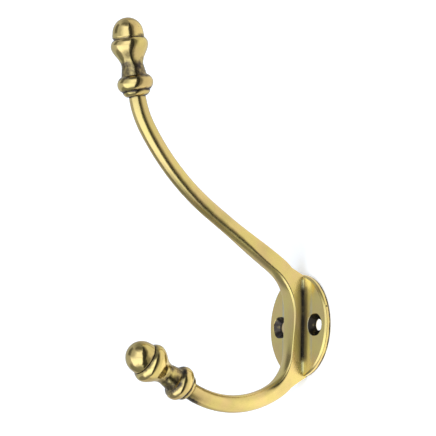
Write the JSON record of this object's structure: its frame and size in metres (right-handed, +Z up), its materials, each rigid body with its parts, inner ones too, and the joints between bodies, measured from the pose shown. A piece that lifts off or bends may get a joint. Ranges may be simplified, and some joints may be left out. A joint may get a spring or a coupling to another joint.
{
  "type": "hat and coat hook",
  "caption": "Cast brass hat and coat hook: round wall plate with a chamfered edge, long upper arm and short lower arm, each ending in an acorn finial.",
  "frame": {"origin": "centre of the plate's flat back face, which lies on the wall", "axes": "+X to the right of someone facing the wall, +Y into the wall, +Z up; both arms lie in the plane X = 0 and reach out along -Y"},
  "size_m": [0.04, 0.0848, 0.1475],
  "materials": {
    "aged_brass": "polished high spots over a darkened, aged ground"
  },
  "bodies": {
    "root": {"hook_casting": "aged_brass"}
  },
  "joints": []
}
